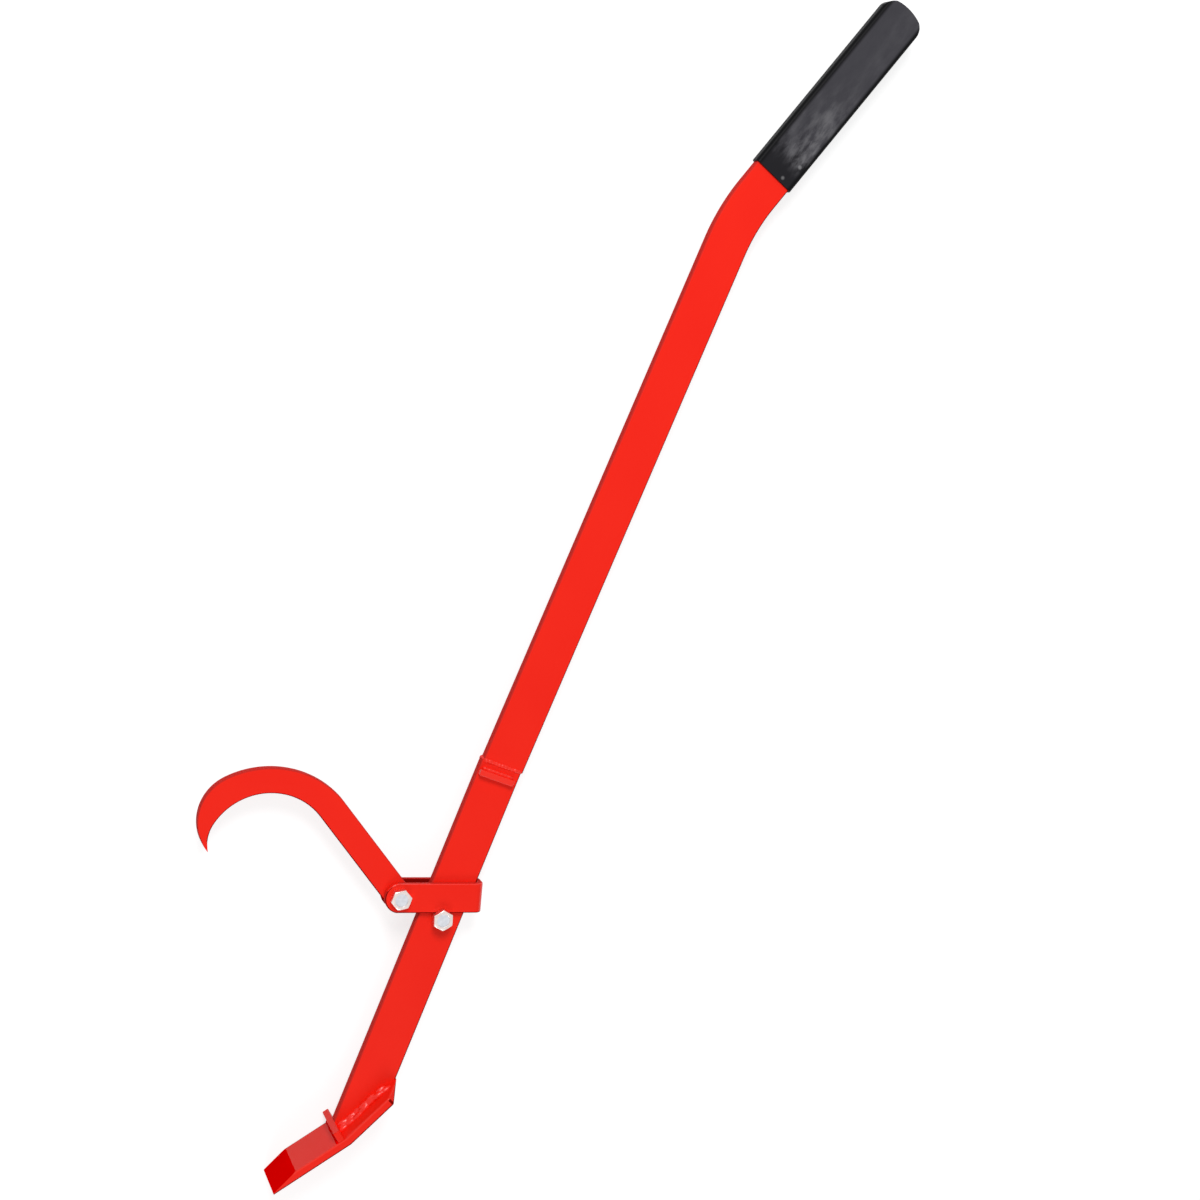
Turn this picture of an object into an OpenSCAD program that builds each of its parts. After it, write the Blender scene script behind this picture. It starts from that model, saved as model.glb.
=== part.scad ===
// Felling lever with a turning hook: a cranked flat-bar lever with a dog-leg foot,
// a loose strap that slides on the bar, and a hook that swings on the strap's bolt.
// Units are millimetres. The lever lies on its side: +X runs along the lower bar to the foot,
// the hook hangs to -Y and the bolt heads face +Z. The origin is the middle of the toe's sole.

/* [Lever bar] */
// Width of the flat bar
bar_w = 40; // [36:1:46]
// Thickness of the flat bar
bar_t = 10; // [8:0.5:12]
// Radius of the bar's rolled edges
bar_edge = 1.5; // [0.5:0.25:3]
// Lower bar, from the foot to the splice, along the bar's axis
lower_len = 343.3; // [325:1:400]
// Upper bar, from the splice to the point where the crank's two axes meet
upper_len = 539.5; // [450:1:650]
// Small kink in the lever at the welded splice, degrees
splice_kink = 1; // [0:0.25:3]
// Sideways step between the two bars at the splice, away from the hook
splice_jog = 1.4; // [0:0.1:2]
// Angle of the cranked handle to the upper bar, degrees
crank_angle = 16.9; // [8:0.5:30]
// Radius of the crank at the bar's middle
crank_r = 190; // [120:5:240]
// How much the bar swells in the bend
crank_swell = 0.05; // [0.03:0.01:0.2]
// Handle, from the crank's meeting point to the end of the bar
handle_len = 244; // [235:1:300]
// Radius of the handle's rounded end inside the grip
bar_nose = 24; // [23.5:0.5:32]

/* [Splice and upper stop] */
// Half the width of the weld bead round the splice
splice_half = 2.6; // [2.2:0.1:4]
// Height of that bead over the bar's faces
splice_high = 1.6; // [1:0.1:2]
// Height of that bead over the bar's edges
splice_edge = 0.8; // [0.5:0.1:1.2]
// Upper stop bar: distance from the splice to its upper side
stop_bar_gap = 8.3; // [8:0.1:12]
// Upper stop bar: size along the lever
stop_bar_w = 6; // [4:0.5:8]
// Upper stop bar: height over the bar
stop_bar_h = 6; // [5.75:0.25:8]
// Upper stop bar: length across the lever
stop_bar_len = 34; // [24:1:35]
// Upper stop bar: offset of its middle towards the hook
stop_bar_off = 1.8; // [0:0.1:2]
// Leg of the weld behind the stop bar
stop_weld_leg = 3.5; // [2:0.25:4]

/* [Foot] */
// Width of the foot plate
foot_w = 53; // [46:1:60]
// Thickness of the foot plate
foot_t = 8; // [6:0.5:10]
// Angle of the heel to the bar, degrees
heel_angle = 26.6; // [22:0.5:31]
// Angle of the toe to the bar, degrees
toe_angle = 38.2; // [34:0.5:44]
// Length cut off the heel's two rear corners, along the heel
heel_cut = 16; // [8:0.5:18]
// Half width left at the heel's rear end
heel_tail = 7; // [6:0.5:12]
// Distance of the knee from the bar's axis, along the heel
knee_off = 22.6; // [19:0.2:26]
// Length of the toe's sole
toe_len = 81; // [75:0.5:100]
// Length of the ground bevel at the toe's tip
bevel_len = 27; // [20:1:33]
// Thickness left at the tip's edge
tip_t = 1.5; // [0.8:0.1:3]
// Leg of the fillet welds on the bar's two faces
foot_weld_leg = 6; // [4:0.5:7]

/* [Cleat] */
// Distance from the knee to the cleat, along the toe
cleat_off = 2; // [1.8:0.1:4]
// Thickness of the cleat
cleat_t = 6; // [3:0.25:7]
// Height of the cleat over the toe
cleat_h = 10.5; // [6:0.1:14]
// Leg of the weld in front of the cleat
cleat_weld_leg = 3; // [2:0.25:4]

/* [Grip] */
// Wall of the moulded grip
grip_wall = 2; // [1.5:0.1:3]
// Length of the grip
grip_len = 198; // [170:1:205]
// Thickness of the grip's closed end
grip_end = 3; // [2:0.5:6]
// Edge radius of the grip's section
grip_edge = 4; // [3:0.25:5]
// Radius of the closed end's corners in plan
grip_corner = 16; // [10:0.5:18]
// Radius of the closed end's dome in plan
grip_dome = 46; // [40:1:80]

/* [Strap] */
// Width of the strap
strap_w = 27.5; // [25:0.5:30]
// Thickness of the strap
strap_t = 5.5; // [4:0.25:6]
// Tilt of the strap as it hangs, degrees
strap_tilt = 18; // [12:0.5:21]
// Distance from the bar's axis to the hook pivot
pivot_off = 44; // [40:1:50]
// Distance from the foot's axis crossing up to the pivot, along the bar
pivot_up = 200; // [196:1:206]
// Radius of the strap's rounded ends round the pivot
nose_r = 14; // [14:0.25:18]
// Inside radius of the strap's two bends
strap_bend = 1.5; // [1:0.25:2.5]
// Room on each side between strap and bar
side_room = 0.6; // [0.5:0.05:1]

/* [Hook] */
// Thickness of the hook
hook_t = 10; // [8:0.5:10.5]
// Width of the hook's arm
arm_w = 25; // [22:0.5:27]
// Eye radius of the hook
eye_r = 13; // [12.5:0.25:15]
// Lean of the arm away from square to the bar, degrees
arm_lean = 32.3; // [20:0.5:45]
// Straight length of the arm on its inner side
arm_len = 106.2; // [100:0.2:115]
// Radius of the hook's throat
throat_r = 57.3; // [54:0.1:60]
// Radius of the throat near the tip
throat_tip_r = 33.8; // [32:0.1:36]
// Where the throat tightens, degrees round its centre
throat_turn = 20; // [16:1:23]
// Back of the hook: radius of its long curve
back_r = 87.5; // [86:0.1:90]
// Back of the hook: where its long curve starts before the throat does
back_lead = 5.5; // [4:0.25:7]
// Back of the hook: radius near the tip
back_tip_r = 42.7; // [41:0.1:45]
// Back of the hook: where it tightens, degrees below its centre
back_turn = 11.9; // [9:0.5:14]

/* [Bolts] */
// Bolt diameter
bolt_d = 10; // [8:0.5:11]
// Width across flats of heads and nuts
bolt_af = 17; // [16:0.5:19]
// Height of the bolt heads
head_h = 6.4; // [5:0.1:8]
// Diameter of the dished centre of the heads
dish_d = 12; // [9:0.5:13]
// Depth of that dish
dish_deep = 0.7; // [0.3:0.1:1.2]
// Height of the lock nuts, insert included
nut_h = 9.5; // [8.5:0.1:10.5]
// Height of the nut's round collar
collar_h = 2.5; // [2:0.1:3]
// Washer diameter
washer_d = 20; // [18:0.5:21]
// Washer thickness
washer_t = 2; // [1.5:0.1:2.5]
// Thread past the nut
thread_out = 1.5; // [0.5:0.1:2]
// Turn of the pivot bolt's head, degrees
pivot_turn = 0; // [0:1:59]
// Turn of the stop bolt's head, degrees
stop_turn = 20; // [0:1:59]

/* [Clearances] */
// Radial clearance of a bolt in a hole it turns in
run_room = 0.08; // [0.03:0.01:0.1]
// Radial clearance of washers, nuts and of the bolt in the bar
loose_room = 0.1; // [0.05:0.01:0.2]
// Gap at each place where the strap rests
seat_room = 0.3; // [0.25:0.05:0.5]
// Gap between the cheeks and the stop bolt's head and washer
cheek_room = 0.5; // [0.3:0.05:0.8]
// Room between grip and bar
grip_room = 0.05; // [0.02:0.01:0.1]

/* [Hidden] */
$fn = 96;
far = 400;

// Foot, in the bar's frame: the heel's upper face crosses the bar's axis at the start.
heel_dir = [cos(heel_angle), -sin(heel_angle)];
heel_down = [sin(heel_angle), cos(heel_angle)];
toe_dir = [cos(toe_angle), -sin(toe_angle)];
toe_down = [sin(toe_angle), cos(toe_angle)];
knee = knee_off * heel_dir;
heel_run = bar_w / 2 / sin(heel_angle);
heel_top = -heel_run * heel_dir;
heel_low = heel_top + [foot_t / sin(heel_angle), 0];
knee_low = knee + foot_t / (1 + heel_down * toe_down) * (heel_down + toe_down);
tip_low = knee_low + toe_len * toe_dir;
sole_mid = knee_low + 0.5 * toe_len * toe_dir;

// Strap: across is measured from the pivot towards the foot, along from the pivot to the bend.
pivot = [-pivot_up, -pivot_off];
slot_z = bar_t / 2 + side_room;
cheek_z = slot_z + strap_t;
half_w = strap_w / 2;
bend_in = (pivot_off + bar_w / 2 + half_w * sin(strap_tilt)) / cos(strap_tilt) + seat_room;
bend_out = bend_in + strap_t;
stop_across = half_w + seat_room + bolt_d / 2;
stop_x = pivot[0] + (stop_across - pivot_off * sin(strap_tilt)) / cos(strap_tilt);

// Crank
crank_tan = crank_r * tan(crank_angle / 2);
straight_len = upper_len - crank_tan;
tail_len = handle_len - crank_tan;
crank_lap = 1;

// Bolts
shank_r = bolt_d / 2;
stop_seat = cheek_z + cheek_room;

// Node colours
paint = [0.86, 0.05, 0.03];
zinc = [0.80, 0.80, 0.78];
pvc = [0.07, 0.07, 0.08];
nylon = [0.15, 0.25, 0.6];

// Everything is drawn in the bar's frame, then moved so that the sole's middle is the origin.
module placed() {
    translate([-sole_mid[0], -sole_mid[1], 0])
        children();
}

// Rectangle with round corners, centred
module round_rect(w, t, r) {
    square([w - 2 * r, t], center = true);
    square([w, t - 2 * r], center = true);
    for (sx = [-1, 1])
        for (sy = [-1, 1])
            translate([sx * (w / 2 - r), sy * (t / 2 - r)])
                circle(r);
}

// Straight piece of a section, running from the start along +X
module along_x(len) {
    rotate([90, 0, 90])
        linear_extrude(len)
            children();
}

module bar_section(swell) {
    round_rect(bar_w + 2 * swell, bar_t + 2 * swell, bar_edge + swell);
}

// Lower bar

// All that lies under the foot plate's upper faces
module under_foot() {
    translate([0, 0, -far / 2])
        linear_extrude(far)
            polygon([
                knee - far * heel_dir,
                knee,
                knee + far * toe_dir,
                knee + far * toe_dir + far * toe_down,
                knee - far * heel_dir + far * heel_down
            ]);
}

// Frame of the toe: +X runs along it from the knee, -Y stands up from its upper face
module at_toe() {
    translate([knee[0], knee[1], 0])
        rotate([0, 0, -toe_angle])
            children();
}

// The bar's end is cut to the heel, and its front corner square to the toe, for the cleat
module lower_blank() {
    difference() {
        translate([-lower_len, 0, 0])
            along_x(lower_len + 2 * knee_off)
                bar_section(0);
        under_foot();
        at_toe()
            translate([cleat_off, -far / 2, -far / 2])
                cube(far);
    }
}

module shaft_lower() {
    color(paint)
        placed()
            difference() {
                lower_blank();
                translate([stop_x, 0, 0])
                    cylinder(h = 2 * bar_t, r = shank_r + loose_room, center = true);
            }
}

// Upper bar: straight, crank and handle, drawn from the point where the crank starts

module at_crank() {
    translate([-lower_len, splice_jog, 0])
        rotate([0, 0, 180 - splice_kink])
            translate([straight_len, 0, 0])
                children();
}

module at_tail() {
    translate([crank_r * sin(crank_angle), crank_r * (cos(crank_angle) - 1), 0])
        rotate([0, 0, -crank_angle])
            children();
}

// All that lies behind the handle's rounded end, in the handle's own frame
module behind_nose(room) {
    centre = tail_len - bar_nose;
    translate([centre, 0, -far / 2])
        cylinder(h = far, r = bar_nose + room);
    translate([centre - far, -far / 2, -far / 2])
        cube(far);
}

module upper_blank() {
    difference() {
        at_crank() {
            translate([-straight_len - bar_t, 0, 0])
                along_x(straight_len + bar_t + crank_lap)
                    bar_section(0);
            translate([0, -crank_r, 0])
                mirror([1, -1, 0])
                    rotate_extrude(angle = crank_angle, $fn = 360)
                        translate([crank_r, 0])
                            bar_section(crank_swell);
            at_tail()
                intersection() {
                    translate([-crank_lap, 0, 0])
                        along_x(tail_len + crank_lap)
                            bar_section(0);
                    behind_nose(0);
                }
        }
        translate([-lower_len, -bar_w, -bar_t])
            cube([4 * bar_w, 2 * bar_w, 2 * bar_t]);
    }
}

module shaft_upper() {
    color(paint)
        placed()
            upper_blank();
}

// Weld bead round the splice: crowned over the faces and over the edges, less the two bars' ends
module splice_weld() {
    fit = splice_half * tan(splice_kink) + 0.02;
    color(paint)
        placed()
            difference() {
                translate([-lower_len, splice_jog / 2, 0])
                    intersection() {
                        rotate([90, 0, 0])
                            linear_extrude(2 * bar_w, center = true)
                                crown(bar_t / 2, splice_high);
                        linear_extrude(2 * bar_t, center = true)
                            crown((bar_w + splice_jog) / 2, splice_edge);
                    }
                translate([-lower_len, 0, 0])
                    bar_end(fit);
                translate([-lower_len, splice_jog, 0])
                    mirror([1, 0, 0])
                        bar_end(fit);
            }
}

// Room for one bar's end, from the splice along +X
module bar_end(fit) {
    translate([0, -bar_w / 2 - fit, -bar_t / 2 - fit])
        cube([bar_t, bar_w + 2 * fit, bar_t + 2 * fit]);
}

// Lengthwise section of the bead: two arcs that rise by high over the bar's half size
module crown(half, high) {
    r = (splice_half * splice_half + high * high) / (2 * high);
    mid = half + high - r;
    intersection() {
        union() {
            square([2 * r, 2 * mid], center = true);
            for (s = [-1, 1])
                translate([0, s * mid])
                    circle(r);
        }
        square([2 * splice_half, 2 * bar_w], center = true);
    }
}

// Upper stop: a short square bar welded across the front face, with a weld on its upper side

stop_bar_x = -lower_len + stop_bar_gap;

module stop_bar() {
    color(paint)
        placed()
            translate([stop_bar_x, -stop_bar_off - stop_bar_len / 2, bar_t / 2])
                cube([stop_bar_w, stop_bar_len, stop_bar_h]);
}

// Quarter-round bead in a corner: it runs along +X, with its legs on -Y and +Z
module quarter_bead(len, leg) {
    intersection() {
        rotate([0, 90, 0])
            cylinder(h = len, r = leg);
        translate([0, -2 * leg, 0])
            cube([len, 2 * leg, 2 * leg]);
    }
}

module stop_bar_weld() {
    bead = stop_bar_len - 2 * stop_weld_leg;
    color(paint)
        placed()
            translate([stop_bar_x, -stop_bar_off + bead / 2, bar_t / 2])
                rotate([0, 0, -90])
                    quarter_bead(bead, stop_weld_leg);
}

// Foot: one plate bent at the knee, its toe ground to an edge, its heel flush with the bar's edge

module foot_profile() {
    polygon([
        heel_top,
        knee,
        tip_low - foot_t * toe_down - bevel_len * toe_dir,
        tip_low - tip_t * toe_down,
        tip_low,
        knee_low,
        heel_low
    ]);
}

// What is cut off one rear corner of the heel, looking square on to the heel's face
module heel_corner() {
    slope = [heel_cut, foot_w / 2 - heel_tail];
    translate([heel_top[0], heel_top[1], 0])
        rotate([-90, 0, -heel_angle])
            translate([0, 0, -foot_t])
                linear_extrude(3 * foot_t)
                    translate([0, heel_tail])
                        polygon([-slope, 2 * slope, [-slope[0], 2 * slope[1]]]);
}

module foot_plate() {
    color(paint)
        placed()
            difference() {
                translate([0, 0, -foot_w / 2])
                    linear_extrude(foot_w)
                        foot_profile();
                heel_corner();
                mirror([0, 0, 1])
                    heel_corner();
            }
}

// Fillet welds along the bar's two faces, in the corner with the foot plate
module face_weld() {
    heel_bead = heel_run + knee_off - foot_weld_leg;
    intersection() {
        translate([knee[0], knee[1], bar_t / 2]) {
            rotate([0, 0, 180 - heel_angle])
                mirror([0, 1, 0])
                    quarter_bead(heel_bead, foot_weld_leg);
            rotate([0, 0, -toe_angle])
                quarter_bead(cleat_off, foot_weld_leg);
        }
        translate([-far / 2, -bar_w / 2, 0])
            cube([far, bar_w, bar_t + foot_weld_leg]);
    }
}

module foot_weld_front() {
    color(paint)
        placed()
            face_weld();
}

module foot_weld_back() {
    color(paint)
        placed()
            mirror([0, 0, 1])
                face_weld();
}

// Cleat: a flat strip standing square on the toe at the bar's front corner, across the whole foot
module foot_cleat() {
    color(paint)
        placed()
            at_toe()
                translate([cleat_off, -cleat_h, -foot_w / 2])
                    cube([cleat_t, cleat_h, foot_w]);
}

module cleat_weld() {
    run = foot_w - 2 * cleat_weld_leg;
    color(paint)
        placed()
            at_toe()
                translate([cleat_off + cleat_t, 0, run / 2])
                    rotate([0, 90, 0])
                        quarter_bead(run, cleat_weld_leg);
}

// Grip: moulded sleeve with a closed, rounded end
module grip() {
    inner_w = bar_w + 2 * grip_room;
    inner_t = bar_t + 2 * grip_room;
    outer_w = inner_w + 2 * grip_wall;
    outer_t = inner_t + 2 * grip_wall;
    mouth = tail_len + grip_end - grip_len;
    color(pvc)
        placed()
            at_crank()
                at_tail()
                    difference() {
                        intersection() {
                            translate([mouth, 0, 0])
                                along_x(grip_len)
                                    round_rect(outer_w, outer_t, grip_edge);
                            translate([0, 0, -outer_t])
                                linear_extrude(2 * outer_t)
                                    intersection() {
                                        union() {
                                            translate([mouth + grip_len / 2, 0])
                                                round_rect(grip_len, outer_w, grip_corner);
                                            translate([mouth, -outer_w / 2])
                                                square([grip_len / 2, outer_w]);
                                        }
                                        union() {
                                            translate([mouth + grip_len - grip_dome, 0])
                                                circle(grip_dome);
                                            translate([mouth, -outer_w])
                                                square([grip_len - grip_dome, 2 * outer_w]);
                                        }
                                    }
                            }
                        intersection() {
                            translate([mouth - 1, 0, 0])
                                along_x(grip_len - grip_end + 1 + grip_room)
                                    round_rect(inner_w, inner_t, bar_edge);
                            behind_nose(grip_room);
                        }
                    }
}

// Bolts, washers and lock nuts

// Hexagon with its rim turned off at 30 degrees, standing on z = 0
module hex_block(h) {
    corner = bolt_af / cos(30);
    intersection() {
        cylinder(h = h, d = corner, $fn = 6);
        cylinder(h = h, r1 = bolt_af / 2 - 0.2 + h * tan(60), r2 = bolt_af / 2 - 0.2);
    }
}

// Bolt with its seat at z = 0 and its shank running down
module bolt(len, turn) {
    difference() {
        rotate([0, 0, turn])
            hex_block(head_h);
        translate([0, 0, head_h - dish_deep])
            cylinder(h = 2 * dish_deep, d = dish_d);
    }
    translate([0, 0, -len])
        cylinder(h = len + head_h / 2, r = shank_r);
}

module washer() {
    difference() {
        cylinder(h = washer_t, d = washer_d);
        translate([0, 0, -1])
            cylinder(h = washer_t + 2, r = shank_r + loose_room);
    }
}

// Lock nut with its seat at z = 0: a hexagon, a round collar and a groove for the insert
module lock_nut() {
    insert_r = bolt_af / 2 - 2;
    difference() {
        union() {
            hex_block(nut_h - collar_h);
            cylinder(h = nut_h, r = bolt_af / 2 - 0.6);
        }
        translate([0, 0, -1])
            cylinder(h = nut_h + 2, r = shank_r + loose_room);
        translate([0, 0, nut_h - collar_h])
            cylinder(h = collar_h - 0.5, r = insert_r);
    }
}

module nut_insert() {
    insert_r = bolt_af / 2 - 2;
    translate([0, 0, nut_h - collar_h])
        difference() {
            cylinder(h = collar_h - 0.5, r = insert_r);
            translate([0, 0, -1])
                cylinder(h = collar_h + 2, r = shank_r + loose_room / 2);
        }
}

module stop_bolt() {
    len = 2 * stop_seat + washer_t + nut_h + thread_out;
    color(zinc)
        placed()
            translate([stop_x, 0, stop_seat])
                bolt(len, stop_turn);
}

module stop_washer() {
    color(zinc)
        placed()
            translate([stop_x, 0, -stop_seat - washer_t])
                washer();
}

module at_stop_nut() {
    placed()
        translate([stop_x, 0, -stop_seat - washer_t])
            mirror([0, 0, 1])
                children();
}

module stop_nut() {
    color(zinc)
        at_stop_nut()
            lock_nut();
}

module stop_nut_insert() {
    color(nylon)
        at_stop_nut()
            nut_insert();
}

module at_pivot(z) {
    placed()
        translate([pivot[0], pivot[1], z])
            children();
}

module pivot_bolt() {
    len = 2 * cheek_z + washer_t + nut_h + thread_out;
    color(zinc)
        at_pivot(cheek_z)
            bolt(len, pivot_turn);
}

module pivot_washer() {
    color(zinc)
        at_pivot(-cheek_z - washer_t)
            washer();
}

module pivot_nut() {
    color(zinc)
        at_pivot(-cheek_z - washer_t)
            mirror([0, 0, 1])
                lock_nut();
}

module pivot_nut_insert() {
    color(nylon)
        at_pivot(-cheek_z - washer_t)
            mirror([0, 0, 1])
                nut_insert();
}

// Strap: flat bar folded round the lever, its two ends rounded about the pivot
module strap() {
    outer_r = strap_bend + strap_t;
    color(paint)
        at_pivot(0)
            rotate([0, 0, strap_tilt])
                difference() {
                    intersection() {
                        translate([-half_w, 0, 0])
                            along_x(strap_w)
                                difference() {
                                    translate([(bend_out - 3 * nose_r) / 2, 0])
                                        round_rect(bend_out + 3 * nose_r, 2 * cheek_z, outer_r);
                                    translate([(bend_in - 4 * nose_r) / 2, 0])
                                        round_rect(bend_in + 4 * nose_r, 2 * slot_z, strap_bend);
                                }
                        translate([0, 0, -2 * cheek_z])
                            linear_extrude(4 * cheek_z) {
                                circle(nose_r);
                                translate([-half_w, 0])
                                    square([strap_w, bend_out + 1]);
                            }
                    }
                    cylinder(h = 4 * cheek_z, r = shank_r + loose_room, center = true);
                }
}

// Hook: a straight arm and a tapering crescent of arcs, cut from plate.
// Its outline is drawn with x out along the arm and y towards the throat.
module hook_outline() {
    throat = [arm_len, arm_w / 2 + throat_r];
    throat_tip = throat + (throat_r - throat_tip_r) * [cos(throat_turn), sin(throat_turn)];
    back = [arm_len - back_lead, back_r - arm_w / 2];
    back_tip = back + (back_r - back_tip_r) * [cos(back_turn), -sin(back_turn)];
    reach = 2 * back_r;
    difference() {
        union() {
            circle(eye_r);
            translate([0, -arm_w / 2])
                square([arm_len, arm_w]);
            intersection() {
                translate(back)
                    circle(back_r, $fn = 240);
                translate(back)
                    polygon([[0, 0], [0, -reach], [reach, -reach], reach * [cos(back_turn), -sin(back_turn)]]);
            }
            translate(back_tip)
                circle(back_tip_r, $fn = 160);
        }
        intersection() {
            translate(throat)
                circle(throat_r, $fn = 200);
            translate(throat)
                rotate(throat_turn)
                    translate([-reach, -2 * reach])
                        square(2 * reach);
        }
        translate(throat_tip)
            circle(throat_tip_r, $fn = 160);
        translate([back[0] - 1, arm_w / 2])
            square([back_lead + 1, throat_r]);
        circle(shank_r + run_room);
    }
}

module hook() {
    color(paint)
        at_pivot(-hook_t / 2)
            rotate([0, 0, 270 - arm_lean])
                linear_extrude(hook_t)
                    hook_outline();
}

shaft_lower();
shaft_upper();
splice_weld();
stop_bar();
stop_bar_weld();
foot_plate();
foot_weld_front();
foot_weld_back();
foot_cleat();
cleat_weld();
grip();
stop_bolt();
stop_washer();
stop_nut();
stop_nut_insert();
strap();
pivot_bolt();
pivot_washer();
pivot_nut();
pivot_nut_insert();
hook();
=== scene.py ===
import math

import bmesh
import bpy
from mathutils import Matrix, Vector


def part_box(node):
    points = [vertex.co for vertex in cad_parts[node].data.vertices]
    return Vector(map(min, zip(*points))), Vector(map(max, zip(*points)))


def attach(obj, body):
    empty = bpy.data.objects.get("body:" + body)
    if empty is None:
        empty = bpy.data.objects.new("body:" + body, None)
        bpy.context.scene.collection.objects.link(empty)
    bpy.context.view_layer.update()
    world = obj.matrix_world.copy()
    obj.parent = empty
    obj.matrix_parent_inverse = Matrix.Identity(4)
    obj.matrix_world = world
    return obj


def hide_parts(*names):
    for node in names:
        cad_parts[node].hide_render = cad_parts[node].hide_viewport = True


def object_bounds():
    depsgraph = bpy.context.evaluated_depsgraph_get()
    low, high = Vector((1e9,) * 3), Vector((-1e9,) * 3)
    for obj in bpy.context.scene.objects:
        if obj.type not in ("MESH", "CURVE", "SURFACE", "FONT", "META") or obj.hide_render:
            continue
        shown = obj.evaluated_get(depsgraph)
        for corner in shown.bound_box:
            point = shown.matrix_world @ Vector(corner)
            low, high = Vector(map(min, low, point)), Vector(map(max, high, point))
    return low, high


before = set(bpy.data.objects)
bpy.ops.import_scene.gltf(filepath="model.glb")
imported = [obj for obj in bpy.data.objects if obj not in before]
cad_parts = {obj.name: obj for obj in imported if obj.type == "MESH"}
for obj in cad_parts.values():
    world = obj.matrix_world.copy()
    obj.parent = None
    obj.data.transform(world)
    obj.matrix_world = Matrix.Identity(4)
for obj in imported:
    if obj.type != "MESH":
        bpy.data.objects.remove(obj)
cad_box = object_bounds()

# Camera
# It looks down on the lever, which lies on its side with the grip at the upper right,
# as in the photograph: a square picture, 2200 pixels of focal length for 1200 of width.
sensor_mm, focal_px, picture_px = 36, 2200, 1200
look_right = Vector((-0.3798, 0.8720, 0.3090)).normalized()
look_ahead = Vector((0.0410, 0.3495, -0.9361))
look_ahead = (look_ahead - look_right * look_ahead.dot(look_right)).normalized()
look_up = look_right.cross(look_ahead)
camera_place = Vector((-0.65465, -0.64409, 1.87722))

camera_data = bpy.data.cameras.new("camera")
camera_data.sensor_width = sensor_mm
camera_data.lens = sensor_mm * focal_px / picture_px
camera = bpy.data.objects.new("camera", camera_data)
bpy.context.scene.collection.objects.link(camera)
turn = Matrix((look_right, look_up, -look_ahead)).transposed()
camera.matrix_world = Matrix.Translation(camera_place) @ turn.to_4x4()
bpy.context.scene.camera = camera

# Lever bars
# Two lengths of hot-rolled 40 x 10 mm flat bar with rolled edges, the upper one cranked cold
# for the handle; they are butt-welded in line and powder-coated red after welding.
MM = 0.001


def linear(hex_colour):
    """An sRGB hex colour as the linear colour that a shader socket takes."""
    parts = [int(hex_colour[i:i + 2], 16) / 255 for i in (1, 3, 5)]
    return [p / 12.92 if p <= 0.04045 else ((p + 0.055) / 1.055) ** 2.4 for p in parts] + [1]


def add(tree, kind, inputs=None, **settings):
    """Adds a node, sets it up, and links or fills its inputs by name or number."""
    made = tree.nodes.new(kind)
    for name, value in settings.items():
        setattr(made, name, value)
    for name, value in (inputs or {}).items():
        if isinstance(value, bpy.types.NodeSocket):
            tree.links.new(value, made.inputs[name])
        else:
            made.inputs[name].default_value = value
    return made


def new_material(name):
    material = bpy.data.materials.new(name)
    material.use_nodes = True
    material.node_tree.nodes.clear()
    return material, material.node_tree


def noise(tree, place, size_mm, detail, roughness=0.5):
    """A soft random pattern with features about size_mm across."""
    made = add(tree, "ShaderNodeTexNoise", {
        "Vector": place, "Scale": 1 / (size_mm * MM), "Detail": detail, "Roughness": roughness})
    return made.outputs["Fac"]


def remap(tree, value, from_low=0, from_high=1, to_low=0, to_high=1, eased=False):
    """A value carried over from one range to another, and held at the ends."""
    made = add(tree, "ShaderNodeMapRange", {
        "Value": value, "From Min": from_low, "From Max": from_high,
        "To Min": to_low, "To Max": to_high},
        interpolation_type="SMOOTHSTEP" if eased else "LINEAR")
    return made.outputs[0]


def blend(tree, share, first, second):
    """Two colours mixed; each is a hex colour or the output of another node."""
    first, second = (linear(c) if isinstance(c, str) else c for c in (first, second))
    # The colour sockets of a mix are its seventh and eighth inputs and its third output.
    made = add(tree, "ShaderNodeMix", {0: share, 6: first, 7: second}, data_type="RGBA")
    return made.outputs[2]


def bumped(tree, height, strength, depth_mm):
    """A normal tilted by a pattern of heights."""
    made = add(tree, "ShaderNodeBump", {
        "Height": height, "Strength": strength, "Distance": depth_mm * MM})
    return made.outputs[0]


def principled(tree, inputs):
    """Closes a material with a principled shader."""
    shader = add(tree, "ShaderNodeBsdfPrincipled", inputs)
    add(tree, "ShaderNodeOutputMaterial", {"Surface": shader.outputs[0]})


# Baked polyester powder on blasted steel: a deep even red with a satin gloss and the slow ripple
# of orange peel. Darker, duller copies of it are painted shade on edges, sides and hollows.
def red_powder_coat(name, tones, shine, gloss_from, gloss_to):
    peel_mm, cloud_mm, speck_mm, peel_depth_mm = 2.6, 70, 0.9, 0.12
    material, tree = new_material(name)
    place = add(tree, "ShaderNodeTexCoord").outputs["Object"]
    peel = noise(tree, place, peel_mm, 1)
    cloud = noise(tree, place, cloud_mm, 2)
    speck = noise(tree, place, speck_mm, 2)
    principled(tree, {
        "Base Color": blend(tree, cloud, *tones),
        "Roughness": remap(tree, speck, to_low=gloss_from, to_high=gloss_to),
        "Normal": bumped(tree, peel, 0.35, peel_depth_mm),
        "IOR": 1.5, "Specular IOR Level": shine})
    return material


red_coat = red_powder_coat("powder_coated_steel_red", ("#f42012", "#fa2816"), 0.14, 0.30, 0.46)
# Painted shade: a near-maroon red for edges turned from the lamp and for hollows, and a darker,
# duller red for narrow sides.
painted_shade_coat = red_powder_coat("powder_coated_steel_red_painted_shade", ("#860805", "#900e08"), 0, 0.5, 0.6)
side_shade_coat = red_powder_coat("powder_coated_steel_red_side_shade", ("#d42c26", "#dc322a"), 0.02, 0.5, 0.6)


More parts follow.
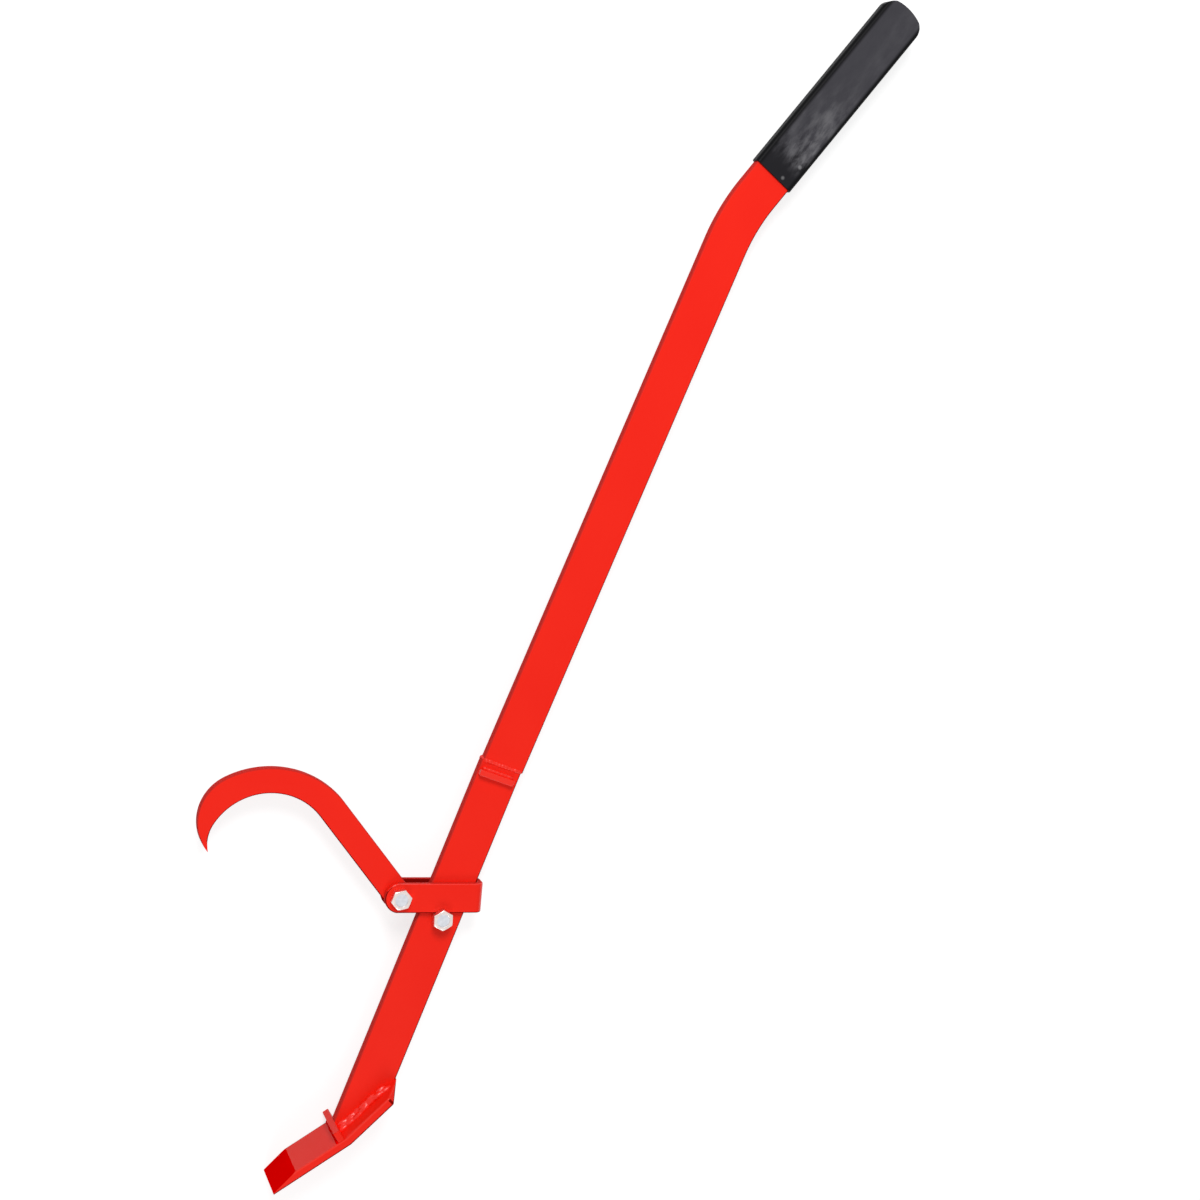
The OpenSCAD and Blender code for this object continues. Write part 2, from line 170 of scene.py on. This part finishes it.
def merged_copy(node):
    """The node's solid as one welded mesh of flat faces, ready to be worked on."""
    same_place, same_plane = 0.002 * MM, math.radians(0.2)
    work = bmesh.new()
    work.from_mesh(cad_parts[node].data)
    bmesh.ops.remove_doubles(work, verts=work.verts, dist=same_place)
    bmesh.ops.dissolve_limit(work, angle_limit=same_plane, verts=work.verts, edges=work.edges)
    return work


def softened(work, size, steps=2, over=40, chosen=lambda edge: True, finish=0, limited=True):
    """Rounds each chosen edge that turns by more than `over` degrees; `finish` numbers its
    material, and `limited` keeps the rounding of short edges from running into each other."""
    work.normal_update()
    sharp = [e for e in work.edges if len(e.link_faces) == 2
             and e.calc_face_angle(0) > math.radians(over) and chosen(e)]
    made = bmesh.ops.bevel(
        work, geom=sharp, offset=size, offset_type="OFFSET", segments=steps, profile=0.5,
        affect="EDGES", clamp_overlap=limited, harden_normals=False)
    for face in made["faces"]:
        face.material_index = finish
    return work


def finished(work, name, node, body, slot, *materials):
    """Makes the worked mesh a piece that stands for its node."""
    corner, crease, broad_area = math.radians(30), math.radians(5), 500 * MM ** 2
    shortest_edge = 0.005 * MM
    bmesh.ops.dissolve_degenerate(work, dist=shortest_edge, edges=work.edges)
    work.normal_update()
    for edge in work.edges:
        # Between two broad flats even a slight bend shows as a line.
        broad = all(f.calc_area() > broad_area for f in edge.link_faces)
        edge.smooth = edge.calc_face_angle(0) < (crease if broad else corner)
    for face in work.faces:
        face.smooth = True
    bmesh.ops.triangulate(work, faces=[f for f in work.faces if len(f.verts) > 4])
    mesh = bpy.data.meshes.new(name)
    work.to_mesh(mesh)
    work.free()
    for material in materials:
        mesh.materials.append(material)
    piece = bpy.data.objects.new(name, mesh)
    bpy.context.scene.collection.objects.link(piece)
    # Normals follow the large flat faces, so that those stay flat beside their rounded edges.
    even = piece.modifiers.new("even_shading", "WEIGHTED_NORMAL")
    even.keep_sharp = True
    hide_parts(node)
    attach(piece, body)


def rolled_edges(work):
    """Numbers the materials of a flat piece: 0 on its faces, 1 on its rounded narrow sides, a
    darker red as painted shade, and 2 on the roundings along its lower and right-hand edges,
    painted dark as shade."""
    painted_shade_side = Vector((0.87, 0.5, 0))
    flat_level, rounding_level, painted_shade_turn = 0.97, 0.3, 0.1
    work.normal_update()
    for face in work.faces:
        level = abs(face.normal.z)
        in_painted_shade = level > rounding_level and face.normal.dot(painted_shade_side) > painted_shade_turn
        face.material_index = 0 if level > flat_level else 2 if in_painted_shade else 1
    return work


finished(rolled_edges(merged_copy("shaft_lower")), "shaft_lower_coated", "shaft_lower", "lever",
         "red_powder_coat", red_coat, side_shade_coat, painted_shade_coat)

bar_w, bar_t, bar_edge = 40 * MM, 10 * MM, 1.5 * MM
splice_y = 29.775 * MM
splice_centre = Vector((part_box("shaft_upper")[1].x, splice_y, 0))
bar_heading = math.radians(179)
crank_angle, crank_r = math.radians(16.9), 190 * MM
splice_to_corner, corner_to_end = 539.5 * MM, 244 * MM
crank_reach = crank_r * math.tan(crank_angle / 2)
straight_len = splice_to_corner - crank_reach
tail_len = corner_to_end - crank_reach
nose_r = 24 * MM


def heading(angle):
    return Vector((math.cos(angle), math.sin(angle), 0))


def bar_section(half_w):
    """Points round the bar's section, as (across, up), for half a width of half_w."""
    corner_steps = 6
    # The rounding shrinks with the bar where the nose runs out.
    edge = min(bar_edge, 0.6 * half_w)
    points = []
    for sx, sz, first in ((1, 1, 0), (-1, 1, 90), (-1, -1, 180), (1, -1, 270)):
        for step in range(corner_steps + 1):
            a = math.radians(first + 90 / corner_steps * step)
            points.append((sx * (half_w - edge) + edge * math.cos(a),
                           sz * (bar_t / 2 - edge) + edge * math.sin(a)))
    return points


def upper_bar():
    """The upper bar swept along its crank, with the rounded nose that sits inside the grip."""
    straight_steps, crank_steps, tail_steps, nose_steps = 16, 20, 6, 8
    half_w = bar_w / 2
    stations = [(splice_centre + heading(bar_heading) * straight_len * k / straight_steps,
                 bar_heading, half_w) for k in range(straight_steps + 1)]
    centre = stations[-1][0] + heading(bar_heading - math.pi / 2) * crank_r
    for k in range(1, crank_steps + 1):
        angle = bar_heading - crank_angle * k / crank_steps
        stations.append((centre - heading(angle - math.pi / 2) * crank_r, angle, half_w))
    tail_start, tail_heading = stations[-1][:2]
    ahead = heading(tail_heading)
    nose_start = math.sqrt(nose_r ** 2 - half_w ** 2)
    nose_centre = tail_len - nose_r
    for k in range(1, tail_steps + 1):
        reach = (nose_centre + nose_start) * k / tail_steps
        stations.append((tail_start + ahead * reach, tail_heading, half_w))
    # The nose ends just short of its full length, so that its last ring keeps some width.
    nose_end = 0.995 * nose_r
    for k in range(1, nose_steps + 1):
        share = math.sin(math.pi / 2 * k / nose_steps)
        reach = nose_start + (nose_end - nose_start) * share
        stations.append((tail_start + ahead * (nose_centre + reach), tail_heading,
                         math.sqrt(nose_r ** 2 - reach ** 2)))
    work = bmesh.new()
    rings = []
    for place, angle, half in stations:
        across = heading(angle - math.pi / 2)
        rings.append([work.verts.new(place + across * x + Vector((0, 0, z)))
                      for x, z in bar_section(half)])
    for ring, following in zip(rings, rings[1:]):
        for k in range(len(ring)):
            n = (k + 1) % len(ring)
            work.faces.new((ring[k], following[k], following[n], ring[n]))
    work.faces.new(rings[0])
    work.faces.new(rings[-1])
    bmesh.ops.recalc_face_normals(work, faces=work.faces)
    return work


finished(rolled_edges(upper_bar()), "shaft_upper_coated", "shaft_upper", "lever",
         "red_powder_coat", red_coat, side_shade_coat, painted_shade_coat)


# Splice weld
# One pass of wire-fed weld run round the butt joint of the two bars, left unground:
# overlapping scales that follow the bar's section, under the same red coat.
def weld_ripples():
    """Node tree: a row of overlapping scales along each path, melted into one bead."""
    smallest, largest, band_voxels, threshold = 0.8, 1.08, 4, 0.1
    tree = bpy.data.node_groups.new("weld_ripples", "GeometryNodeTree")
    face = tree.interface
    face.new_socket("Path", in_out="INPUT", socket_type="NodeSocketGeometry")
    for name in ("Radius", "Pitch", "Scale Length", "Wander", "Voxel"):
        face.new_socket(name, in_out="INPUT", socket_type="NodeSocketFloat")
    for name in ("Seed", "Smoothing"):
        face.new_socket(name, in_out="INPUT", socket_type="NodeSocketInt")
    face.new_socket("Coat", in_out="INPUT", socket_type="NodeSocketMaterial")
    face.new_socket("Bead", in_out="OUTPUT", socket_type="NodeSocketGeometry")
    given = add(tree, "NodeGroupInput").outputs
    run = add(tree, "GeometryNodeMeshToCurve", {"Mesh": given["Path"]})
    steps = add(tree, "GeometryNodeResampleCurve", {
        "Curve": run.outputs[0], "Length": given["Pitch"]}, mode="LENGTH")
    # Each scale lands a little off the line, as the torch weaves.
    weave = add(tree, "FunctionNodeRandomValue", {
        "Min": (-1, -1, -1), "Max": (1, 1, 1), "Seed": given["Seed"]}, data_type="FLOAT_VECTOR")
    off_line = add(tree, "ShaderNodeVectorMath", {
        0: weave.outputs[0], "Scale": given["Wander"]}, operation="SCALE")
    woven = add(tree, "GeometryNodeSetPosition", {
        "Geometry": steps.outputs[0], "Offset": off_line.outputs[0]})
    tangent = add(tree, "GeometryNodeInputTangent")
    facing = add(tree, "FunctionNodeAlignRotationToVector", {
        "Vector": tangent.outputs[0]}, axis="X")
    # The float sockets of a random value are its third and fourth inputs and its second output.
    size = add(tree, "FunctionNodeRandomValue", {
        2: smallest, 3: largest, "Seed": given["Seed"]}, data_type="FLOAT")
    girth = add(tree, "ShaderNodeMath", {
        0: given["Radius"], 1: size.outputs[1]}, operation="MULTIPLY")
    shape = add(tree, "ShaderNodeCombineXYZ", {
        "X": given["Scale Length"], "Y": girth.outputs[0], "Z": girth.outputs[0]})
    scale = add(tree, "GeometryNodeMeshIcoSphere", {"Radius": 1, "Subdivisions": 3})
    row = add(tree, "GeometryNodeInstanceOnPoints", {
        "Points": woven.outputs[0], "Instance": scale.outputs[0],
        "Rotation": facing.outputs[0], "Scale": shape.outputs[0]})
    real = add(tree, "GeometryNodeRealizeInstances", {"Geometry": row.outputs[0]})
    # The scales run together: one skin round them all, evened out a little.
    band = add(tree, "ShaderNodeMath", {0: given["Voxel"], 1: band_voxels}, operation="MULTIPLY")
    melt = add(tree, "GeometryNodeMeshToVolume", {
        "Mesh": real.outputs[0], "Voxel Size": given["Voxel"],
        "Interior Band Width": band.outputs[0]}, resolution_mode="VOXEL_SIZE")
    skin = add(tree, "GeometryNodeVolumeToMesh", {
        "Volume": melt.outputs[0], "Voxel Size": given["Voxel"], "Threshold": threshold},
        resolution_mode="VOXEL_SIZE")
    spot = add(tree, "GeometryNodeInputPosition")
    even = add(tree, "GeometryNodeBlurAttribute", {
        "Value": spot.outputs[0], "Iterations": given["Smoothing"]}, data_type="FLOAT_VECTOR")
    flowed = add(tree, "GeometryNodeSetPosition", {
        "Geometry": skin.outputs[0], "Position": even.outputs[0]})
    soft = add(tree, "GeometryNodeSetShadeSmooth", {"Geometry": flowed.outputs[0]})
    whole = add(tree, "GeometryNodeRealizeInstances", {"Geometry": soft.outputs[0]})
    painted = add(tree, "GeometryNodeSetMaterial", {
        "Geometry": whole.outputs[0], "Material": given["Coat"]})
    add(tree, "NodeGroupOutput", {"Bead": painted.outputs[0]})
    return tree


ripples = weld_ripples()
# The coat pools over the ripples, so it is glossier there, most of all on the coarse ones.
seam_coat = red_powder_coat("powder_coated_seam_red", ("#f42414", "#fa2c1a"), 0.34, 0.30, 0.38)
weld_coat = red_powder_coat("powder_coated_weld_red", ("#f41c0c", "#fa2410"), 0.45, 0.26, 0.34)


def weld_bead(name, node, paths, radius, pitch, wander, seed, coat=weld_coat, smoothing=8):
    """Lays a rippled bead along each path, a list of points, in place of a plain one."""
    length_share, voxel = 0.9, 0.3 * MM
    mesh = bpy.data.meshes.new(name)
    points, edges = [], []
    for path in paths:
        first = len(points)
        points += [tuple(p) for p in path]
        edges += [(first + i, first + i + 1) for i in range(len(path) - 1)]
    mesh.from_pydata(points, edges, [])
    holder = bpy.data.objects.new(name + "_path", mesh)
    bpy.context.scene.collection.objects.link(holder)
    layer = holder.modifiers.new("ripples", "NODES")
    layer.node_group = ripples
    values = {"Radius": radius, "Pitch": pitch, "Scale Length": length_share * pitch,
              "Wander": wander, "Voxel": voxel, "Seed": seed, "Smoothing": smoothing, "Coat": coat}
    for item in ripples.interface.items_tree:
        if item.in_out == "INPUT" and item.name in values:
            layer[item.identifier] = values[item.name]
    graph = bpy.context.evaluated_depsgraph_get()
    bead = bpy.data.meshes.new_from_object(holder.evaluated_get(graph))
    bpy.data.objects.remove(holder)
    piece = bpy.data.objects.new(name, bead)
    bpy.context.scene.collection.objects.link(piece)
    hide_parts(node)
    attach(piece, "lever")


splice_low, splice_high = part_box("splice_weld")
splice_x = (splice_low.x + splice_high.x) / 2
# The plain bead's box stands this far past the bar's faces and edges. The scales' middles run
# just under the bar's surface, deeper at its two edges, so that the bead stands 1.7 mm proud
# of the faces and only just shows at the edges.
over_face, over_edge = 1.6 * MM, 0.8 * MM
face_sink, edge_sink = 0.9 * MM, 2.6 * MM
low_y, high_y = splice_low.y + over_edge + edge_sink, splice_high.y - over_edge - edge_sink
low_z, high_z = splice_low.z + over_face + face_sink, splice_high.z - over_face - face_sink
ring = [Vector((splice_x, y, z)) for y, z in (
    (low_y, low_z), (high_y, low_z), (high_y, high_z), (low_y, high_z), (low_y, low_z))]
weld_bead("splice_weld_bead", "splice_weld", [ring], radius=2.6 * MM, pitch=3.2 * MM,
          wander=0.12 * MM, seed=3, coat=seam_coat)

# Upper stop
# A short square bar set across the front face under the splice, which stops the strap;
# it is held by one fillet weld along its upper side.
finished(softened(merged_copy("stop_bar"), 1.2 * MM, 4), "stop_bar_coated", "stop_bar", "lever",
         "red_powder_coat", seam_coat)
stop_low, stop_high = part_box("stop_bar_weld")
stop_inset, stop_sink = 1.5 * MM, 0.9 * MM
stop_run = [Vector((stop_high.x - stop_sink, y, stop_low.z + stop_sink))
            for y in (stop_low.y + stop_inset, stop_high.y - stop_inset)]
weld_bead("stop_bar_weld_bead", "stop_bar_weld", [stop_run], radius=2.4 * MM, pitch=4.0 * MM,
          wander=0.15 * MM, seed=5, coat=seam_coat)

# Foot
# An 8 mm plate, 53 mm wide, bent at the knee; its toe is ground to an edge on the upper side
# and the heel's rear corners are cut off. Flame-cut edges are dressed and coated.
foot_t, tip_t, bevel_len = 8 * MM, 1.5 * MM, 27 * MM
knee = Vector((-36.14, 18.26, 0)) * MM
toe_angle, heel_angle = math.radians(38.2), math.radians(26.6)
toe_along = Vector((math.cos(toe_angle), -math.sin(toe_angle), 0))
off_toe = Vector((-math.sin(toe_angle), -math.cos(toe_angle), 0))
heel_up = Vector((-math.cos(heel_angle), math.sin(heel_angle), 0))
off_heel = Vector((-math.sin(heel_angle), -math.cos(heel_angle), 0))
bevel_slope = math.atan2(foot_t - tip_t, bevel_len)
off_bevel = off_toe * math.cos(bevel_slope) + toe_along * math.sin(bevel_slope)


def is_ground(face):
    """Whether a face of the foot is the ground facet; the heel lies only 2 degrees off it."""
    return face.normal.dot(off_bevel) > 0.9998


def is_unground(edge):
    """Whether an edge of the foot lies clear of the ground facet and the tip, which stay sharp."""
    return not any(is_ground(f) or f.normal.dot(toe_along) > 0.99 for f in edge.link_faces)


foot = merged_copy("foot_plate")
# A tiny step at the heel is closed first: so short an edge would stop the rounding.
foot_step = 0.1 * MM
bmesh.ops.remove_doubles(foot, verts=foot.verts, dist=foot_step)
foot = softened(foot, 1.4 * MM, 4, 40, is_unground, 1)
foot.normal_update()
for face in foot.faces:
    # The rounded edges are painted dark as shade, apart from the upper ones in front, which shine.
    if is_ground(face):
        face.material_index = 2
    elif face.material_index == 1 and face.normal.z > 0.1 and face.normal.dot(off_heel) > 0.1:
        face.material_index = 3
# The ground facet is painted a darker, purer, duller red, as painted shade.
ground_shade_coat = red_powder_coat(
    "powder_coated_steel_red_ground_shade", ("#f20000", "#fa0000"), 0, 0.5, 0.62)
finished(foot, "foot_plate_coated", "foot_plate", "lever", "red_powder_coat",
         red_coat, painted_shade_coat, ground_shade_coat, seam_coat)

# Foot welds
# Two passes of weld laid one over the other in the corner between the bar's face and the heel,
# the same on the back: coarse, lumpy ripples that catch the light.
for side, out_z, seed in (("front", 1, 7), ("back", -1, 8)):
    node = "foot_weld_" + side
    low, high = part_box(node)
    corner = knee + Vector((0, 0, out_z * min(abs(low.z), abs(high.z))))
    runs = []
    # Each pass in mm: off the heel, off the bar's face, and from where to where along the heel.
    for rise, out, start, end in ((4.1, 0.9, 4.0, 48.0), (0.9, 3.7, 2.0, 53.0)):
        root = corner + off_heel * rise * MM + Vector((0, 0, out_z * out * MM))
        runs.append([root + heel_up * start * MM, root + heel_up * end * MM])
    weld_bead(node + "_bead", node, runs, radius=3.6 * MM, pitch=8.0 * MM,
              wander=1.2 * MM, seed=seed, smoothing=14)

# Cleat
# A flat strip standing square on the toe at the bar's front corner, right across the foot,
# which stops the toe from sinking too deep; it is welded along its front.
finished(softened(merged_copy("foot_cleat"), 0.8 * MM), "foot_cleat_coated", "foot_cleat", "lever",
         "red_powder_coat", red_coat)
cleat_low, cleat_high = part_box("cleat_weld")
cleat_gap, cleat_t, cleat_inset, cleat_out = 2 * MM, 6 * MM, 1 * MM, 0.7 * MM
cleat_foot = knee + toe_along * (cleat_gap + cleat_t) + (toe_along + off_toe) * cleat_out
cleat_run = [cleat_foot + Vector((0, 0, z))
             for z in (cleat_low.z + cleat_inset, cleat_high.z - cleat_inset)]
# The weld takes the ground facet's darker, duller red, as painted shade.
weld_bead("cleat_weld_bead", "cleat_weld", [cleat_run], radius=1.9 * MM, pitch=4.2 * MM,
          wander=0.4 * MM, seed=11, coat=ground_shade_coat)

# Grip
# A dip-moulded sleeve of soft black PVC with a closed round end, pushed on to the handle
# and held by its own stretch.
grip_len = 198 * MM
grip_axis = heading(bar_heading - crank_angle)
grip_across = heading(bar_heading - crank_angle - math.pi / 2)
grip_corners = [v.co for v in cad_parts["grip"].data.vertices]
grip_mouth = min(c.dot(grip_axis) for c in grip_corners)
grip_sides = [c.dot(grip_across) for c in grip_corners]
grip_half = (max(grip_sides) - min(grip_sides)) / 2
grip_centre = (max(grip_sides) + min(grip_sides)) / 2


def calc(tree, operation, *values):
    """The outcome of one step of arithmetic."""
    return add(tree, "ShaderNodeMath", dict(enumerate(values)), operation=operation).outputs[0]


def reach_along(tree, place, direction):
    """How far a place lies along a direction."""
    made = add(tree, "ShaderNodeVectorMath", {0: place, 1: direction}, operation="DOT_PRODUCT")
    return made.outputs["Value"]


# Plasticised PVC: charcoal rather than black, with a broad sheen, a fine moulded grain,
# pale smears of dust and a few light specks; its rounded edges are painted near black as shade.
def black_soft_pvc():
    grain_mm, smear_mm, cloud_mm, speck_mm, grain_depth_mm = 0.9, 8, 25, 14, 0.08
    material, tree = new_material("dip_moulded_pvc_black")
    coords = add(tree, "ShaderNodeTexCoord").outputs
    place = coords["Object"]
    # Station: 0 at the sleeve's mouth and 1 at its closed end.
    lengthwise = reach_along(tree, place, grip_axis)
    station = remap(tree, lengthwise, grip_mouth, grip_mouth + grip_len)
    # Hands draw the dust out along the sleeve, so its pattern is stretched that way.
    drawn = add(tree, "ShaderNodeVectorMath", {
        0: grip_axis, "Scale": lengthwise}, operation="SCALE")
    drawn = add(tree, "ShaderNodeVectorMath", {
        0: drawn.outputs[0], 1: (-0.6, -0.6, -0.6), 2: place}, operation="MULTIPLY_ADD")
    grain = noise(tree, place, grain_mm, 3)
    smear = noise(tree, drawn.outputs[0], smear_mm, 5, 0.62)
    cloud = noise(tree, place, cloud_mm, 2)
    # The flat of the faces, short of their rounded edges.
    facing = add(tree, "ShaderNodeSeparateXYZ", {0: coords["Normal"]})
    level = remap(tree, calc(tree, "ABSOLUTE", facing.outputs["Z"]), 0.80, 0.985, eased=True)
    sidewise = calc(tree, "SUBTRACT", reach_along(tree, place, grip_across), grip_centre)
    inside = remap(tree, calc(tree, "ABSOLUTE", sidewise),
                   0.70 * grip_half, 0.88 * grip_half, 1, 0, eased=True)
    flat = calc(tree, "MULTIPLY", level, inside)
    # Charcoal on the flat in grey patches, darker towards the mouth; near black elsewhere, as
    # painted shade on the rounded edges.
    wander = calc(tree, "MULTIPLY_ADD", smear, 0.35, station)
    grey_patches = remap(tree, wander, 0.24, 0.40, to_low=0.25, eased=True)
    charcoal_outside_shade = calc(tree, "MULTIPLY", grey_patches, flat)
    # Dust: streaks from behind the mouth to the middle, thicker on the side away from the hook,
    # where the sleeve is seldom held.
    dust = remap(tree, station, 0.05, 0.16, eased=True)
    fading = remap(tree, station, 0.22, 0.60, 1, 0.12, eased=True)
    streak = remap(tree, smear, 0.40, 0.70, to_high=0.65)
    lying = remap(tree, sidewise, -0.5 * grip_half, 0.3 * grip_half, to_low=0.25)
    for share in (fading, streak, flat, lying):
        dust = calc(tree, "MULTIPLY", dust, share)
    # Flecks: a few light specks close to the mouth.
    speck = add(tree, "ShaderNodeTexVoronoi", {"Vector": place, "Scale": 1 / (speck_mm * MM)})
    fleck = remap(tree, speck.outputs["Distance"], 0.08, 0.18, 0.4, 0)
    fleck = calc(tree, "MULTIPLY", fleck, remap(tree, station, 0.12, 0.22, 1, 0))
    colour = blend(tree, cloud, "#3b3a3f", "#454449")
    # The rounded edges are painted near black as shade.
    colour = blend(tree, charcoal_outside_shade, "#0b0b0d", colour)
    colour = blend(tree, dust, colour, "#88878a")
    colour = blend(tree, fleck, colour, "#a9a8aa")
    principled(tree, {
        "Base Color": colour, "Roughness": remap(tree, charcoal_outside_shade, to_low=0.42, to_high=0.6),
        "Normal": bumped(tree, grain, 0.3, grain_depth_mm),
        "IOR": 1.53, "Specular IOR Level": 0.05})
    return material


finished(softened(merged_copy("grip"), 0.5 * MM, 2, 50), "grip_moulded", "grip", "lever",
         "black_pvc", black_soft_pvc())

# Strap
# A flat strip folded into a long U round the bar, its two ends rounded for the pivot bolt;
# sheared and bent cold, so its edges are only lightly broken before coating.
slot_half = 5.8 * MM
# The broken edges are painted dark as shade.
strap = softened(merged_copy("strap"), 1.0 * MM, 3, finish=1)
strap.normal_update()
for face in strap.faces:
    # The slot between the cheeks is painted dark as shade, the cut sides and the outside of the
    # bend
    #     a darker red as painted shade, and the coat has run together along the front cheek's
    #     upper side.
    level, height = abs(face.normal.z), face.calc_center_median().z
    in_slot = level > 0.9 and abs(height) < slot_half
    upper_side = level < 0.985 and face.normal.x < -0.15 and height > 0
    cut_side = level < 0.3 or (level < 0.6 and face.normal.y > 0.5)
    if in_slot:
        face.material_index = 1
    elif upper_side:
        face.material_index = 3
    elif cut_side:
        face.material_index = 2
finished(strap, "strap_coated", "strap", "strap", "red_powder_coat",
         red_coat, painted_shade_coat, side_shade_coat, weld_coat)

# Hook
# Flame-cut from 10 mm plate, its throat and back run out to a point; the cut edges are
# dressed round by hand and coated.
hook = merged_copy("hook")
# A small step in the outline is closed first: so short an edge would stop the rounding.
hook_step, point_len = 0.3 * MM, 6 * MM
bmesh.ops.remove_doubles(hook, verts=hook.verts, dist=hook_step)
hook.normal_update()
# The point is the sharpest corner of all; the edges are dressed up to a little short of it.
point = max(hook.edges, key=lambda edge: edge.calc_face_angle(0)).verts[0].co.copy()
hook = softened(hook, 0.9 * MM, chosen=lambda edge: all(
    (v.co - point).xy.length > point_len for v in edge.verts), limited=False)
finished(rolled_edges(hook), "hook_coated", "hook", "hook",
         "red_powder_coat", red_coat, side_shade_coat, painted_shade_coat)


# Bolts, washers and lock nuts
# Two M10 hexagon bolts with dished heads, each with a plain washer and a lock nut behind.
# Bright zinc plate on steel: pale grey with a soft mirror, slightly mottled by the bath.
def zinc_plate(name, tones, gloss_from, gloss_to):
    mottle_mm, scratch_mm, scratch_depth_mm = 3.5, 0.5, 0.05
    material, tree = new_material(name)
    place = add(tree, "ShaderNodeTexCoord").outputs["Object"]
    mottle = noise(tree, place, mottle_mm, 3)
    scratch = noise(tree, place, scratch_mm, 2)
    principled(tree, {
        "Base Color": blend(tree, mottle, *tones), "Metallic": 1,
        "Roughness": remap(tree, mottle, to_low=gloss_from, to_high=gloss_to),
        "Normal": bumped(tree, scratch, 0.2, scratch_depth_mm)})
    return material


# Nylon, moulded and pressed into the nut's collar: an even blue, a little translucent and dull.
def nylon_ring():
    cloud_mm, glow_depth_mm = 2, 0.5
    material, tree = new_material("moulded_nylon_blue")
    place = add(tree, "ShaderNodeTexCoord").outputs["Object"]
    cloud = noise(tree, place, cloud_mm, 2)
    principled(tree, {
        "Base Color": blend(tree, cloud, "#27489c", "#3157ad"), "Roughness": 0.5, "IOR": 1.53,
        "Subsurface Weight": 0.1, "Subsurface Scale": glow_depth_mm * MM})
    return material


zinc = zinc_plate("zinc_plated_steel_bright", ("#d4c9c5", "#ebdfda"), 0.22, 0.40)
# The forged dish is not burnished like the rest, so the plate is rougher on it; its darker grey is
# painted shade in the hollow.
dish_shade_zinc = zinc_plate("zinc_plated_steel_dish_shade", ("#b6b9bf", "#dadce2"), 0.42, 0.55)
blue_nylon = nylon_ring()
dish_from, dish_to = 0.5 * MM, 1 * MM
for place_name, body in (("stop", "lever"), ("pivot", "strap")):
    # The limit on short edges holds the roundings of bolt and nut back to 0.08 mm.
    for part, size in (("bolt", 0.35), ("washer", 0.3), ("nut", 0.35)):
        node = f"{place_name}_{part}"
        work = softened(merged_copy(node), size * MM)
        # The dish's floor lies just under the top of the head; it keeps the forging's grain and
        # takes the painted shade.
        top = max(v.co.z for v in work.verts)
        work.normal_update()
        for facet in work.faces:
            depth = top - facet.calc_center_median().z
            if part == "bolt" and facet.normal.z > 0.99 and dish_from < depth < dish_to:
                facet.material_index = 1
        finished(work, node + "_plated", node, body, "zinc_steel", zinc, dish_shade_zinc)
    node = place_name + "_nut_insert"
    finished(softened(merged_copy(node), 0.2 * MM), node + "_moulded", node, body,
             "nylon", blue_nylon)


# Stage
# A wide white floor just under the foot's edge, lit by one large soft lamp over the camera's
# left shoulder, a weaker one from the right, and an even white surround.
def seen_rays(tree):
    """1 for rays from the camera, a mirror or glass, which are to find white; else 0."""
    rays = add(tree, "ShaderNodeLightPath").outputs
    seen = calc(tree, "MAXIMUM", rays["Is Camera Ray"], rays["Is Glossy Ray"])
    return calc(tree, "MAXIMUM", seen, rays["Is Transmission Ray"])


white = (1, 1, 1, 1)
paper_grey, paper_lift = (0.4, 0.4, 0.4, 1), 0.74
floor_half, floor_z = 4, cad_box[0][2] - 0.2 * MM
floor_mesh = bpy.data.meshes.new("floor")
floor_mesh.from_pydata(
    [(x * floor_half, y * floor_half, floor_z) for x, y in ((-1, -1), (1, -1), (1, 1), (-1, 1))],
    [], [(0, 1, 2, 3)])
floor = bpy.data.objects.new("floor", floor_mesh)
bpy.context.scene.collection.objects.link(floor)
white_paper, tree = new_material("white_paper_floor")
paper = add(tree, "ShaderNodeBsdfDiffuse", {"Color": paper_grey})
glow = add(tree, "ShaderNodeEmission", {
    "Color": white, "Strength": calc(tree, "MULTIPLY", seen_rays(tree), paper_lift)})
both = add(tree, "ShaderNodeAddShader", {0: paper.outputs[0], 1: glow.outputs[0]})
add(tree, "ShaderNodeOutputMaterial", {"Surface": both.outputs[0]})
floor_mesh.materials.append(white_paper)


def soft_lamp(name, place, aim, size, watts):
    data = bpy.data.lights.new(name, "AREA")
    data.shape = "DISK"
    data.size = size
    data.energy = watts
    lamp = bpy.data.objects.new(name, data)
    bpy.context.scene.collection.objects.link(lamp)
    lamp.location = place
    lamp.rotation_euler = (Vector(aim) - Vector(place)).to_track_quat("-Z", "Y").to_euler()


middle = (-0.55, 0, 0)
soft_lamp("key_lamp", (-2.0, -1.0, 2.1), middle, 1.1, 44)
soft_lamp("fill_lamp", (1.5, 0.5, 1.6), middle, 1.2, 13)

surround_strength, seen_strength = 0.42, 1
world = bpy.data.worlds.new("studio")
world.use_nodes = True
tree = world.node_tree
tree.nodes.clear()
surround = add(tree, "ShaderNodeBackground", {"Color": white, "Strength": surround_strength})
backdrop = add(tree, "ShaderNodeBackground", {"Color": white, "Strength": seen_strength})
mixed = add(tree, "ShaderNodeMixShader", {
    0: seen_rays(tree), 1: surround.outputs[0], 2: backdrop.outputs[0]})
add(tree, "ShaderNodeOutputWorld", {"Surface": mixed.outputs[0]})
bpy.context.scene.world = world
bpy.context.scene.view_settings.view_transform = "Standard"
